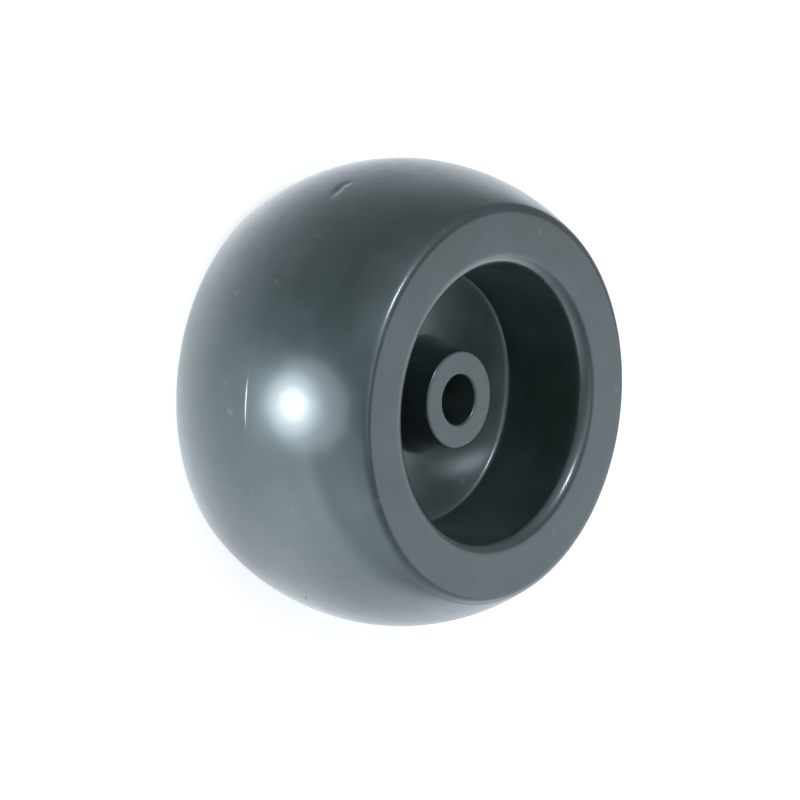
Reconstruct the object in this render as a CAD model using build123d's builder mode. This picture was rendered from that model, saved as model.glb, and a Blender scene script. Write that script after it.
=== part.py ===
"""Deck wheel of a ride-on lawn mower: one solid plastic moulding that turns about its own axle line.

The axle line is Z, the origin is the wheel's centre, and the wheel stands on one of its flat end faces.
Both ends are alike: a flat ring, a deep tapered recess with a dished floor, and a hub that stands in it.
"""
from build123d import *
from math import radians, sqrt, tan
import os

# Tread
tread_diameter = 127.0          # over the crown, at the middle of the width
crown_radius = 63.5             # the curve of the tread across its width
rim_width = 68.3                # from one flat end face to the other
end_edge_radius = 3.0           # rounding where the tread meets a flat end face

# Recess at each end
end_ring_width = 15.7           # from the tread's corner in to the recess wall, across the end face
mouth_edge_radius = 3.6         # rounding of the recess's mouth
wall_draft = 5.5                # degrees that the recess wall leans in towards the web
floor_corner_radius = 1.5       # inside corner between the recess wall and the web
web_thickness = 12.8            # the disc between the two recesses, where it meets the hub
web_flat_width = 3.0            # flat ring of the web round the hub, before the dish begins
dish_rise = 1.8                 # how far the dished floor climbs from the flat ring to the wall

# Hub
bore_diameter = 13.5            # running clearance on a half-inch axle bolt
bore_edge_radius = 0.6
hub_wall = 6.55                 # from the bore out to the hub's side, at the hub's end face
hub_length = 41.3               # from one hub end to the other, centred in the width
hub_draft = 3.0                 # degrees that the hub's side spreads towards the web
hub_edge_radius = 0.5           # rounding round the hub's end face
hub_root_radius = 2.5           # inside corner between the hub and the web

# Fine ridge round the crown, where the two halves of the mould meet
ridge_height = 0.15
ridge_width = 0.5

tread_radius = tread_diameter / 2
bore_radius = bore_diameter / 2
half_width = rim_width / 2
half_hub = hub_length / 2
half_web = web_thickness / 2
floor_height = half_web + dish_rise


def crown_point(height):
    """Point of the crowned tread, as radius and height, at a height above the wheel's middle."""
    crown_centre = tread_radius - crown_radius
    return crown_centre + sqrt(crown_radius**2 - height**2), height


ridge_top = (tread_radius + ridge_height, 0)
ridge_foot = crown_point(ridge_width / 2)
end_corner = crown_point(half_width)
crown_middle = crown_point((half_width + ridge_foot[1]) / 2)

mouth_corner = (end_corner[0] - end_ring_width, half_width)
wall_lean = (half_width - floor_height) * tan(radians(wall_draft))
floor_corner = (mouth_corner[0] - wall_lean, floor_height)

bore_middle = (bore_radius, 0)
bore_corner = (bore_radius, half_hub)
hub_corner = (bore_radius + hub_wall, half_hub)
hub_lean = (half_hub - half_web) * tan(radians(hub_draft))
hub_root = (hub_corner[0] + hub_lean, half_web)
dish_start = (hub_root[0] + hub_root_radius + web_flat_width, half_web)

rounded_corners = {
    bore_corner: bore_edge_radius,
    hub_corner: hub_edge_radius,
    hub_root: hub_root_radius,
    floor_corner: floor_corner_radius,
    mouth_corner: mouth_edge_radius,
    end_corner: end_edge_radius,
}

with BuildPart() as wheel:
    # Half of the section: bore, hub, web, recess wall, end face and tread, down to the parting line
    with BuildSketch(Plane.XZ) as section:
        with BuildLine():
            Polyline(ridge_top, bore_middle, bore_corner, hub_corner, hub_root, dish_start)
            TangentArc(dish_start, floor_corner, tangent=(1, 0))
            Polyline(floor_corner, mouth_corner, end_corner)
            ThreePointArc(end_corner, crown_middle, ridge_foot)
            Line(ridge_foot, ridge_top)
        make_face()
        for corner, radius in rounded_corners.items():
            fillet(section.vertices().sort_by_distance(corner)[0], radius=radius)
    revolve(axis=Axis.Z)
    mirror(about=Plane.XY)

wheel.part.label = "wheel"

os.makedirs("parts", exist_ok=True)
export_step(wheel.part, "parts/wheel.step")
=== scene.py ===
"""The looks of a ride-on mower's deck wheel: its moulded surface, its black plastic and the studio round it.

Lengths are millimetres in the wheel's own frame and turn to metres where Blender gets them. The axle line is
Z, an azimuth runs from +X towards +Y, and the wheel stands on its lower flat end.
"""
import math

import bpy
import numpy as np
from mathutils import Matrix, Vector


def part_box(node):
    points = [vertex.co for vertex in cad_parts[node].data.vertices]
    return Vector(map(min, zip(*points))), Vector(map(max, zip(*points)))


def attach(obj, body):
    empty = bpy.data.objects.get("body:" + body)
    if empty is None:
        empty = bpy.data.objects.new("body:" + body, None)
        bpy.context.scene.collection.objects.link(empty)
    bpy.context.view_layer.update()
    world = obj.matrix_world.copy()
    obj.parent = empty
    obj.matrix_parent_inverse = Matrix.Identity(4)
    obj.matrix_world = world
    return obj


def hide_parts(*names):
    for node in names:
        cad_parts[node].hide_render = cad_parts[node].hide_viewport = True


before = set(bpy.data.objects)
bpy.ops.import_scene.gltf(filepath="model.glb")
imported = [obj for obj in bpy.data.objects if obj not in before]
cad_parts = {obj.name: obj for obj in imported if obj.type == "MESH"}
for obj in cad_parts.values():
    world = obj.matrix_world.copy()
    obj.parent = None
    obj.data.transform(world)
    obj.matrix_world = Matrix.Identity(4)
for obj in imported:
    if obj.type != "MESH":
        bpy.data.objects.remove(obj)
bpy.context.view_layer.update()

MM = 0.001
NODE = "wheel"

# Section of the moulding: the sizes of its CAD node, to 0.02 mm
RIM_HALF_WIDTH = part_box(NODE)[1].z / MM
RIDGE_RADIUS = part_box(NODE)[1].x / MM
CROWN_RADIUS = 63.5
END_EDGE_RADIUS = 3.0
MOUTH_RADIUS = 37.82
MOUTH_EDGE_RADIUS = 3.6
WALL_DRAFT = math.radians(5.5)
DISH_RIM_HEIGHT = 8.2
FLOOR_CORNER_RADIUS = 1.5
WEB_HALF_THICKNESS = 6.4
DISH_START = 19.55
HUB_ROOT_RADIUS = 2.5
HUB_RADIUS = 13.3
HUB_DRAFT = math.radians(3.0)
HUB_HALF_LENGTH = 20.65
HUB_EDGE_RADIUS = 0.5
BORE_RADIUS = 6.75
BORE_EDGE_RADIUS = 0.6

# The parting ridge, drawn 0.8 mm wide where the CAD's is 0.5 mm, so that it shows. Its height is a share of
# the CAD's: a mean, plus waves round the crown, plus a swell on the side that the key light strikes
RIDGE_HALF_WIDTH = 0.4
RIDGE_MEAN = 0.17
RIDGE_LEAST = 0.06
RIDGE_WAVES = (3, 7, 11, 19, 31, 53)
WAVE_HEIGHT = 0.12
WAVE_PHASE = 1.7
SWELL_HEIGHT = 0.55
SWELL_AZIMUTH = math.pi + 0.045
SWELL_HALF_ANGLE = math.radians(6)

# Marks that handling left on the tread: azimuth in degrees, height along the axle, length, width and depth in
# mm, and the degrees that the mark leans away from the parting line
MARKS = (
    dict(azimuth=120.9, height=0.1, length=6.4, width=2.2, depth=0.42, lean=10),
    dict(azimuth=117.8, height=0.6, length=2.2, width=1.9, depth=0.22, lean=20),
    dict(azimuth=111.0, height=-0.2, length=5.0, width=0.6, depth=0.07, lean=0),
    dict(azimuth=-118.0, height=-2.6, length=1.6, width=0.8, depth=0.30, lean=-35),
    dict(azimuth=-119.3, height=-1.4, length=0.9, width=0.7, depth=0.22, lean=10),
)

# The ridge and the marks are on the part of the tread beyond this radius
TREAD_FROM = 0.9 * CROWN_RADIUS

# The surface's grid. Its rows lie closer within this angle of the parting line, and its columns near a mark:
# CROWDING more of them for each one elsewhere, falling off over CROWDING_REACH lengths of the mark. The
# running total that places them has AZIMUTH_STEPS steps
CLOSE_ROWS_ANGLE = math.radians(4.5)
COLUMNS = 430
CROWDING = 3.5
CROWDING_REACH = 1.3
AZIMUTH_STEPS = 14400


def unit(vector):
    """The vector's direction, with length 1."""
    return vector / np.linalg.norm(vector)


def turn_from(start, azimuth):
    """The angle from one azimuth to another, between -pi and pi."""
    return np.angle(np.exp(1j * (azimuth - start)))


def run(start, end, steps):
    """Points on a straight run, closer together near its ends: (1 - cos(pi t)) / 2 of the way."""
    way = (1 - np.cos(np.pi * np.linspace(0, 1, steps + 1))) / 2
    return np.outer(1 - way, start) + np.outer(way, end)


def arc(centre, start, end, steps):
    """Points on a round arc: its two end radii are blended by sin((1 - t) a) and sin(t a), over sin(a)."""
    centre = np.array(centre)
    first, last = start - centre, end - centre
    turn = np.arccos(np.clip(unit(first) @ unit(last), -1, 1))
    t = np.linspace(0, 1, steps + 1)
    blend = np.outer(np.sin((1 - t) * turn), first) + np.outer(np.sin(t * turn), last)
    return centre + blend / np.sin(turn)


def rounded_corner(before, corner, after, radius, steps):
    """The arc that rounds a corner: its centre lies on the bisector, radius / sin(half the corner) away."""
    corner = np.array(corner)
    back, ahead = unit(np.array(before) - corner), unit(np.array(after) - corner)
    half = np.arccos(back @ ahead) / 2
    centre = corner + unit(back + ahead) * radius / np.sin(half)
    reach = radius / np.tan(half)
    return arc(centre, corner + back * reach, corner + ahead * reach, steps)


def half_section():
    """The upper half of the moulding's outline as (radius, height), from the bore over hub, web, wall and end
    ring to the crown: straight runs, rounded corners, the dish's arc and the crown's arc."""
    wall_lean = (RIM_HALF_WIDTH - DISH_RIM_HEIGHT) * math.tan(WALL_DRAFT)
    hub_spread = (HUB_HALF_LENGTH - WEB_HALF_THICKNESS) * math.tan(HUB_DRAFT)
    bore_top = (BORE_RADIUS, HUB_HALF_LENGTH)
    hub_edge = (HUB_RADIUS, HUB_HALF_LENGTH)
    hub_foot = (HUB_RADIUS + hub_spread, WEB_HALF_THICKNESS)
    dish_start = np.array([DISH_START, WEB_HALF_THICKNESS])
    wall_foot = np.array([MOUTH_RADIUS - wall_lean, DISH_RIM_HEIGHT])
    mouth = (MOUTH_RADIUS, RIM_HALF_WIDTH)

    # The dish starts level and climbs to the wall's foot, so its centre is straight above its start. The
    # corner at the foot is rounded between the wall and the dish's slope there, carried 1 mm back
    across, rise = wall_foot - dish_start
    dish_radius = (across ** 2 + rise ** 2) / (2 * rise)
    dish_centre = dish_start + (0, dish_radius)
    slope = math.asin(across / dish_radius)
    dish_tangent = wall_foot - (math.cos(slope), math.sin(slope))

    # The end edge is tangent to the flat end ring and, from inside, to the crown
    edge_height = RIM_HALF_WIDTH - END_EDGE_RADIUS
    edge_centre_radius = math.sqrt((CROWN_RADIUS - END_EDGE_RADIUS) ** 2 - edge_height ** 2)
    edge_centre = np.array([edge_centre_radius, edge_height])
    edge_start = edge_centre + (0, END_EDGE_RADIUS)
    edge_end = unit(edge_centre) * CROWN_RADIUS
    near_ridge = CROWN_RADIUS * np.array([math.cos(CLOSE_ROWS_ANGLE), math.sin(CLOSE_ROWS_ANGLE)])
    ridge_foot = np.array([math.sqrt(CROWN_RADIUS ** 2 - RIDGE_HALF_WIDTH ** 2), RIDGE_HALF_WIDTH])
    crown_middle = np.array([CROWN_RADIUS, 0])

    # The last number of each corner and piece is its count of steps
    bore_edge = rounded_corner((BORE_RADIUS, 0), bore_top, hub_edge, BORE_EDGE_RADIUS, 4)
    hub_corner = rounded_corner(bore_top, hub_edge, hub_foot, HUB_EDGE_RADIUS, 4)
    hub_root = rounded_corner(hub_edge, hub_foot, dish_start, HUB_ROOT_RADIUS, 6)
    floor_corner = rounded_corner(dish_tangent, wall_foot, mouth, FLOOR_CORNER_RADIUS, 6)
    mouth_edge = rounded_corner(wall_foot, mouth, edge_start, MOUTH_EDGE_RADIUS, 9)
    pieces = (
        run((BORE_RADIUS, 0), bore_edge[0], 4),
        bore_edge,
        run(bore_edge[-1], hub_corner[0], 5),
        hub_corner,
        run(hub_corner[-1], hub_root[0], 5),
        hub_root,
        run(hub_root[-1], dish_start, 2),
        arc(dish_centre, dish_start, floor_corner[0], 9),
        floor_corner,
        run(floor_corner[-1], mouth_edge[0], 7),
        mouth_edge,
        run(mouth_edge[-1], edge_start, 7),
        arc(edge_centre, edge_start, edge_end, 8),
        arc((0, 0), edge_end, near_ridge, 12),
        arc((0, 0), near_ridge, ridge_foot, 13),
        arc((0, 0), ridge_foot, crown_middle, 4),
    )

    # Each piece starts where the one before it ends, so that point is kept once
    return np.vstack([piece[:-1] for piece in pieces] + [pieces[-1][-1:]])


def whole_section():
    """The closed outline: the upper half, and its mirror image run backwards."""
    upper = half_section()
    lower = (upper * (1, -1))[::-1]
    return np.vstack([upper, lower[1:-1]])


def column_azimuths():
    """Azimuths of the grid's columns: the inverse of a running total that climbs faster near each mark."""
    fine = np.linspace(-np.pi, np.pi, AZIMUTH_STEPS + 1)
    density = np.ones_like(fine)
    for mark in MARKS:
        away = turn_from(math.radians(mark["azimuth"]), fine) * CROWN_RADIUS
        density += CROWDING * np.exp(-(away / (CROWDING_REACH * mark["length"])) ** 2)
    total = np.concatenate([[0], np.cumsum((density[1:] + density[:-1]) / 2)])
    return np.interp(np.linspace(0, total[-1], COLUMNS + 1)[:-1], total, fine)


def ridge_height(azimuth):
    """Height of the parting ridge at azimuth a, uneven as the mould's halves closed. Its share of the CAD's
    is the mean, plus the wave height times the sum of sin(n a + phase n^2) / k over the waves n, where k
    counts up from 2, plus the swell's height times exp(-(angle from it / its half angle)^4). The share is
    held between the least and 1."""
    waves = sum(np.sin(n * azimuth + WAVE_PHASE * n * n) / k for k, n in enumerate(RIDGE_WAVES, 2))
    swell = np.exp(-(turn_from(SWELL_AZIMUTH, azimuth) / SWELL_HALF_ANGLE) ** 4)
    share = np.clip(RIDGE_MEAN + WAVE_HEIGHT * waves + SWELL_HEIGHT * swell, RIDGE_LEAST, 1)
    return (RIDGE_RADIUS - CROWN_RADIUS) * share


def mark_depth(azimuth, height):
    """Depth of the handling marks: the sum of depth * exp(-(2 along / length)^2 - (2 across / width)^2), each
    mark's along and across being turned by its lean."""
    depth = np.zeros(np.broadcast(azimuth, height).shape)
    for mark in MARKS:
        east = turn_from(math.radians(mark["azimuth"]), azimuth) * CROWN_RADIUS
        north = height - mark["height"]
        lean = math.radians(mark["lean"])
        along = east * math.cos(lean) + north * math.sin(lean)
        across = north * math.cos(lean) - east * math.sin(lean)
        fall = (2 * along / mark["length"]) ** 2 + (2 * across / mark["width"]) ** 2
        depth += mark["depth"] * np.exp(-fall)
    return depth


def moulding_surface():
    """Grid of points P(s, a) = (R cos a, R sin a, Z): the closed section's (R, Z) at s, turned through the
    azimuth a. On the tread R gains the parting ridge, h(a) (1 + cos(pi Z / w)) / 2 with w its half width, and
    loses the depth of the marks."""
    section = whole_section()
    radius, height = section[:, :1], section[:, 1:]
    azimuth = column_azimuths()[None, :]
    ridge = (1 + np.cos(np.pi * np.clip(height / RIDGE_HALF_WIDTH, -1, 1))) / 2
    relief = ridge_height(azimuth) * ridge - mark_depth(azimuth, height)
    turned = radius + np.where(radius > TREAD_FROM, relief, 0)
    level = np.broadcast_to(height, turned.shape)
    return np.stack([turned * np.cos(azimuth), turned * np.sin(azimuth), level], axis=2) * MM


def grid_faces(rows, columns):
    """Quads of a grid that closes both ways, wound so that they face out of the solid."""
    row, column = np.meshgrid(np.arange(rows), np.arange(columns), indexing="ij")
    next_row, next_column = (row + 1) % rows, (column + 1) % columns
    corners = (row * columns + column, next_row * columns + column,
               next_row * columns + next_column, row * columns + next_column)
    return np.stack([corner.ravel() for corner in corners], axis=1)


def closed_grid_mesh(name, grid):
    """A smooth mesh from a grid of points that closes both ways."""
    rows, columns = grid.shape[:2]
    faces = grid_faces(rows, columns)
    mesh = bpy.data.meshes.new(name)
    mesh.vertices.add(rows * columns)
    mesh.vertices.foreach_set("co", grid.ravel())
    mesh.loops.add(faces.size)
    mesh.loops.foreach_set("vertex_index", faces.ravel())
    mesh.polygons.add(len(faces))
    mesh.polygons.foreach_set("loop_start", np.arange(0, faces.size, faces.shape[1]))
    mesh.polygons.foreach_set("use_smooth", np.ones(len(faces), bool))
    mesh.update(calc_edges=True)
    mesh.validate()
    return mesh


def linear(hex_colour):
    """An sRGB hex colour as linear RGBA."""
    srgb = np.array([int(hex_colour[i:i + 2], 16) for i in (1, 3, 5)]) / 255
    rgb = np.where(srgb <= 0.04045, srgb / 12.92, ((srgb + 0.055) / 1.055) ** 2.4)
    return (*rgb, 1.0)


def add(tree, kind, settings=None, **links):
    """Adds a node of one kind. Settings are its properties or, by name or number, its inputs' values. Links
    feed its inputs from other nodes' sockets: an input is named with underscores for its spaces, or numbered
    as in _0 for the first where several share a name."""
    node = tree.nodes.new("ShaderNode" + kind)
    for key, value in (settings or {}).items():
        if isinstance(key, int) or key in node.inputs:
            node.inputs[key].default_value = value
        else:
            setattr(node, key, value)
    for key, socket in links.items():
        place = int(key[1:]) if key[1:].isdigit() else key.replace("_", " ")
        tree.links.new(socket, node.inputs[place])
    return node


def per_metre(size):
    """The scale that gives a pattern features of that size in mm, on Object coordinates in metres."""
    return 1 / (size * MM)


def moulded_black_polyethylene():
    """High-density polyethylene filled with carbon black, injection moulded in a polished steel tool.
    The body is almost black, so what the eye gets is its gloss: a satin body under a smoother moulded skin,
    pale at grazing angles, with the faint mottle of flow, fine grain, and dust and rubs from handling."""
    material = bpy.data.materials.new("moulded_black_polyethylene")
    material.use_nodes = True
    tree = material.node_tree
    shader = tree.nodes["Principled BSDF"]

    # The clear skin over the satin body, whose gloss has the photograph's slightly cool tint
    shader.inputs["IOR"].default_value = 1.5
    shader.inputs["Coat Weight"].default_value = 1.0
    shader.inputs["Coat Roughness"].default_value = 0.2
    shader.inputs["Coat IOR"].default_value = 1.5
    shader.inputs["Specular Tint"].default_value = linear("#BFDEE4")
    place = add(tree, "TexCoord").outputs["Object"]

    # Colour: flow mottle of about 9 mm, and thin dust in patches of about 25 mm that lightens it a little
    mottle = add(tree, "TexNoise", {"Scale": per_metre(9), "Detail": 4, "Roughness": 0.55}, Vector=place)
    body = add(tree, "ValToRGB", Fac=mottle.outputs["Fac"])
    for stop, position, colour in zip(body.color_ramp.elements, (0.35, 0.7), ("#1A2220", "#222A28")):
        stop.position = position
        stop.color = linear(colour)
    patches = add(tree, "TexNoise", {"Scale": per_metre(25), "Detail": 3}, Vector=place)
    dust = add(tree, "MapRange", {"From Min": 0.5, "From Max": 0.8, "To Max": 0.35},
               Value=patches.outputs["Fac"])
    dusty = add(tree, "MixRGB", {"Color2": linear("#424D4B")}, Fac=dust.outputs[0],
                Color1=body.outputs["Color"])

    # Faint pale smudges, one where the centre of a cell comes near the surface. They are up to 3 mm wide, and
    # the cells of 12 mm are pulled out of shape by up to 5 mm
    smudge, cell, pull = 3, 12, 5
    strayed = add(tree, "VectorMath", {"operation": "MULTIPLY_ADD", 1: (pull * MM,) * 3},
                  _0=mottle.outputs["Color"], _2=place)
    cells = add(tree, "TexVoronoi", {"Scale": per_metre(cell)}, Vector=strayed.outputs["Vector"])
    pale = add(tree, "MapRange", {"From Min": smudge / cell / 2, "From Max": 0.0, "To Max": 0.08},
               Value=cells.outputs["Distance"])
    smudged = add(tree, "MixRGB", {"Color2": linear("#A9AFAC")}, Fac=pale.outputs[0],
                  Color1=dusty.outputs["Color"])
    tree.links.new(smudged.outputs["Color"], shader.inputs["Base Color"])

    # Gloss: the satin varies in soft patches of about 6 mm, and is duller where dust lies
    satin = add(tree, "TexNoise", {"Scale": per_metre(6), "Detail": 5, "Roughness": 0.6}, Vector=place)
    rough = add(tree, "MapRange", {"From Min": 0.3, "From Max": 0.7, "To Min": 0.33, "To Max": 0.43},
                Value=satin.outputs["Fac"])
    duller = add(tree, "Math", {"operation": "MULTIPLY_ADD", 1: 0.2}, _0=dust.outputs[0], _2=rough.outputs[0])
    tree.links.new(duller.outputs[0], shader.inputs["Roughness"])

    # Relief: the tool's grain, drawn as coarse as 0.7 mm so that it shows, over slow ripples of about 5 mm
    grain = add(tree, "TexNoise", {"Scale": per_metre(0.7), "Detail": 2}, Vector=place)
    ripple = add(tree, "TexNoise", {"Scale": per_metre(5), "Detail": 2}, Vector=place)
    fine = add(tree, "Bump", {"Strength": 0.12, "Distance": 0.02 * MM}, Height=grain.outputs["Fac"])
    slow = add(tree, "Bump", {"Strength": 0.25, "Distance": 0.05 * MM}, Height=ripple.outputs["Fac"],
               Normal=fine.outputs["Normal"])
    tree.links.new(slow.outputs["Normal"], shader.inputs["Normal"])
    tree.links.new(slow.outputs["Normal"], shader.inputs["Coat Normal"])
    return material


def add_wheel_moulding():
    """The whole wheel, which is one moulding."""
    piece = bpy.data.objects.new("wheel_moulding", closed_grid_mesh("wheel_moulding", moulding_surface()))
    bpy.context.scene.collection.objects.link(piece)
    piece.data.materials.append(moulded_black_polyethylene())
    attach(piece, "root")
    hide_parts(NODE)


# Camera: it looks down on the wheel's upper end and is rolled on its side, as the photograph shows the axle
# lying. The focal length is in pixels of the 800-pixel frame. The wheel's centre lies a little right of the
# view's middle and above it, in mm. The two directions are the view's right, and back from wheel to camera
FRAME_PIXELS = 800
FOCAL_PIXELS = 8336.1
SENSOR_WIDTH = 36.0
CAMERA_DISTANCE = 2259.3
CENTRE_IN_VIEW = (0.28, 2.21)
VIEW_RIGHT = Vector((0.6479, 0.0779, 0.7578))
VIEW_BACK = Vector((-0.7618, 0.0662, 0.6445))


def view_axes():
    """The camera's right, up and back directions, square to each other."""
    back = VIEW_BACK.normalized()
    up = back.cross(VIEW_RIGHT).normalized()
    return up.cross(back), up, back


def in_view(right_share, up_share, back_share):
    """A direction given along the camera's right, up and back, turned into the wheel's frame."""
    right, up, back = view_axes()
    return (right * right_share + up * up_share + back * back_share).normalized()


def add_camera():
    """The photograph's camera."""
    right, up, back = view_axes()
    camera = bpy.data.cameras.new("camera")
    camera.sensor_width = SENSOR_WIDTH
    camera.lens = SENSOR_WIDTH * FOCAL_PIXELS / FRAME_PIXELS
    holder = bpy.data.objects.new("camera", camera)
    place = back * CAMERA_DISTANCE - right * CENTRE_IN_VIEW[0] - up * CENTRE_IN_VIEW[1]
    holder.matrix_world = Matrix.Translation(place * MM) @ Matrix((right, up, back)).transposed().to_4x4()
    bpy.context.scene.collection.objects.link(holder)
    bpy.context.scene.camera = holder


# Colours of the light, and of what the camera sees round the wheel
COOL_LIGHT = "#EFF6FF"
SEEN_WHITE = "#FFFFFF"

# What the lamps aim at: the glint on the tread, the recess's mouth and the wheel's centre
GLINT = Vector((-61.6, -2, 15))
MOUTH = Vector((-28, -22, 34))
CENTRE = Vector((0, 0, 0))

# The lamps: the key in three sizes, so that its glint fades softly, a small hard lamp, and a wide one for the
# end faces. Each stands at its distance from its aim, in its direction
KEY_DIRECTION = in_view(-0.805, -0.098, 0.584)
SPREAD_DIRECTION = in_view(-0.70, -0.11, 0.70)
SECOND_DIRECTION = in_view(0.649, 0.354, 0.673)
FACE_DIRECTION = in_view(0.951, -0.143, -0.273)
LAMPS = (
    dict(name="key", aim=GLINT, direction=KEY_DIRECTION, distance=90, width=60, radiance=6.5),
    dict(name="key_core", aim=GLINT, direction=KEY_DIRECTION, distance=110, width=36, radiance=18.0),
    dict(name="key_spread", aim=GLINT, direction=SPREAD_DIRECTION, distance=75, width=84, radiance=2.8),
    dict(name="second", aim=CENTRE, direction=SECOND_DIRECTION, distance=700, width=130, radiance=40.0),
    dict(name="face_disc", aim=MOUTH, direction=FACE_DIRECTION, distance=420, width=220, radiance=1.1),
)

# The room: its even level, and its glows as azimuth, elevation, sharpness and strength
ROOM_LEVEL = 0.02
WALL_GLOWS = (
    (242, 10, 3.8, 2.1),
    (118, 40, 3.4, 1.4),
    (0, 15, 2.0, 0.35),
    (0, 90, 25.0, 1.2),
    (228, 2, 30.0, 0.4),
    (322, 8, 10.0, 2.1),
)

# The floor: its radius in mm and its sides, how far it lies under the wheel so that they share no plane, the
# strength of its own light as the camera sees it, and the painted glows that only reflections see, as x, y,
# spread and strength. The glows below nought are painted shade on the ground close to the wheel
FLOOR_RADIUS = 6000
FLOOR_SIDES = 64
FLOOR_GAP = 0.05
FLOOR_SEEN = 0.72
FLOOR_GLOWS = (
    (0, 0, 42, 2.1),
    (110, 110, 70, 0.6),
    (-104, -110, 50, 1.5),
    (-300, -300, 160, 3.5),
    (50, -330, 130, 0.7),
    (320, -220, 170, 0.9),
    (-300, -850, 350, 0.9),
    (-700, -1000, 350, 1.3),
    # Painted shade on the ground close to the wheel, seen only in reflections
    (-25, -46, 20, -0.9),
    (58, -66, 26, -0.15),
)


def from_angles(azimuth, elevation):
    """A direction from an azimuth and an elevation in degrees."""
    turn, lift = math.radians(azimuth), math.radians(elevation)
    return Vector((math.cos(turn) * math.cos(lift), math.sin(turn) * math.cos(lift), math.sin(lift)))


def add_lamp(name, aim, direction, distance, width, radiance):
    """A round area light that faces its aim. Its power is radiance x area x pi."""
    area = math.pi * (width * MM / 2) ** 2
    light = bpy.data.lights.new(name, "AREA")
    light.shape = "DISK"
    light.size = width * MM
    light.energy = radiance * area * math.pi
    light.color = linear(COOL_LIGHT)[:3]
    holder = bpy.data.objects.new(name, light)
    facing = direction.to_track_quat("Z", "Y").to_matrix().to_4x4()
    holder.matrix_world = Matrix.Translation((aim + direction * distance) * MM) @ facing
    holder.visible_camera = False
    bpy.context.scene.collection.objects.link(holder)


def glow_sum(tree, glows, level=0.0):
    """The socket of level + the sum of strength * exp(power). A glow is the socket of its power, and its
    strength."""
    total = None
    for power, strength in glows:
        falling = add(tree, "Math", {"operation": "EXPONENT"}, _0=power)
        step = add(tree, "Math", {"operation": "MULTIPLY_ADD", 1: strength, 2: level}, _0=falling.outputs[0])
        if total is not None:
            tree.links.new(total, step.inputs[2])
        total = step.outputs[0]
    return total


def add_world():
    """A dim room with soft glows on its walls, each strength * exp(sharpness * (cos(angle off it) - 1)).
    The camera sees it as white."""
    world = bpy.data.worlds.new("studio")
    bpy.context.scene.world = world
    world.use_nodes = True
    tree = world.node_tree
    direction = add(tree, "TexCoord").outputs["Generated"]
    glows = []
    for azimuth, elevation, sharpness, strength in WALL_GLOWS:
        facing = add(tree, "VectorMath", {"operation": "DOT_PRODUCT", 1: from_angles(azimuth, elevation)},
                     _0=direction)
        power = add(tree, "Math", {"operation": "MULTIPLY_ADD", 1: sharpness, 2: -sharpness},
                    _0=facing.outputs["Value"])
        glows.append((power.outputs[0], strength))
    light = glow_sum(tree, glows, ROOM_LEVEL)
    room = add(tree, "Background", {"Color": linear(COOL_LIGHT)}, Strength=light)
    white = add(tree, "Background", {"Color": linear(SEEN_WHITE)})
    camera_ray = add(tree, "LightPath").outputs["Is Camera Ray"]
    seen = add(tree, "MixShader", _0=camera_ray, _1=room.outputs[0], _2=white.outputs[0])
    tree.links.new(seen.outputs[0], tree.nodes["World Output"].inputs["Surface"])


def pale_paper():
    """Matt pale paper. The camera sees it lifted to white, with the wheel's shadow on it, and reflections see
    it lifted by painted soft glows, and darkened by painted shade near the wheel where a strength is below
    nought, each strength * exp(-distance^2 / (2 spread^2)) from its centre."""
    material = bpy.data.materials.new("pale_paper")
    material.use_nodes = True
    tree = material.node_tree
    shader = tree.nodes["Principled BSDF"]
    shader.inputs["Base Color"].default_value = linear("#A2A4A5")
    shader.inputs["Roughness"].default_value = 0.9
    place = add(tree, "TexCoord").outputs["Object"]
    glows = []
    # Painted glows for reflections only, and painted shade near the wheel where a strength is below nought
    for x, y, spread, strength in FLOOR_GLOWS:
        away = add(tree, "VectorMath", {"operation": "DISTANCE", 1: (x * MM, y * MM, 0)}, _0=place)
        square = add(tree, "Math", {"operation": "POWER", 1: 2.0}, _0=away.outputs["Value"])
        fall = -0.5 / (spread * MM) ** 2
        power = add(tree, "Math", {"operation": "MULTIPLY", 1: fall}, _0=square.outputs[0])
        glows.append((power.outputs[0], strength))
    rays = add(tree, "LightPath")
    camera_ray = rays.outputs["Is Camera Ray"]
    mirrored = add(tree, "Math", {"operation": "MULTIPLY"}, _0=rays.outputs["Is Glossy Ray"],
                   _1=glow_sum(tree, glows))
    own_light = add(tree, "Math", {"operation": "MULTIPLY_ADD", 1: FLOOR_SEEN}, _0=camera_ray,
                    _2=mirrored.outputs[0])
    colour = add(tree, "MixRGB", {"Color1": linear(COOL_LIGHT), "Color2": linear(SEEN_WHITE)}, Fac=camera_ray)
    tree.links.new(own_light.outputs[0], shader.inputs["Emission Strength"])
    tree.links.new(colour.outputs["Color"], shader.inputs["Emission Color"])
    return material


def add_floor():
    """A wide round sheet under the wheel: one face on the points (r cos a, r sin a, 0) round its edge."""
    around = np.linspace(0, 2 * np.pi, FLOOR_SIDES, endpoint=False)
    edge = np.stack([np.cos(around), np.sin(around), np.zeros(FLOOR_SIDES)], axis=1) * FLOOR_RADIUS * MM
    mesh = bpy.data.meshes.new("floor")
    mesh.from_pydata(edge.tolist(), [], [range(FLOOR_SIDES)])
    floor = bpy.data.objects.new("floor", mesh)
    floor.location.z = -(RIM_HALF_WIDTH + FLOOR_GAP) * MM
    bpy.context.scene.collection.objects.link(floor)
    mesh.materials.append(pale_paper())


add_wheel_moulding()
add_camera()
for lamp in LAMPS:
    add_lamp(**lamp)
add_world()
add_floor()
bpy.context.scene.view_settings.view_transform = "Standard"
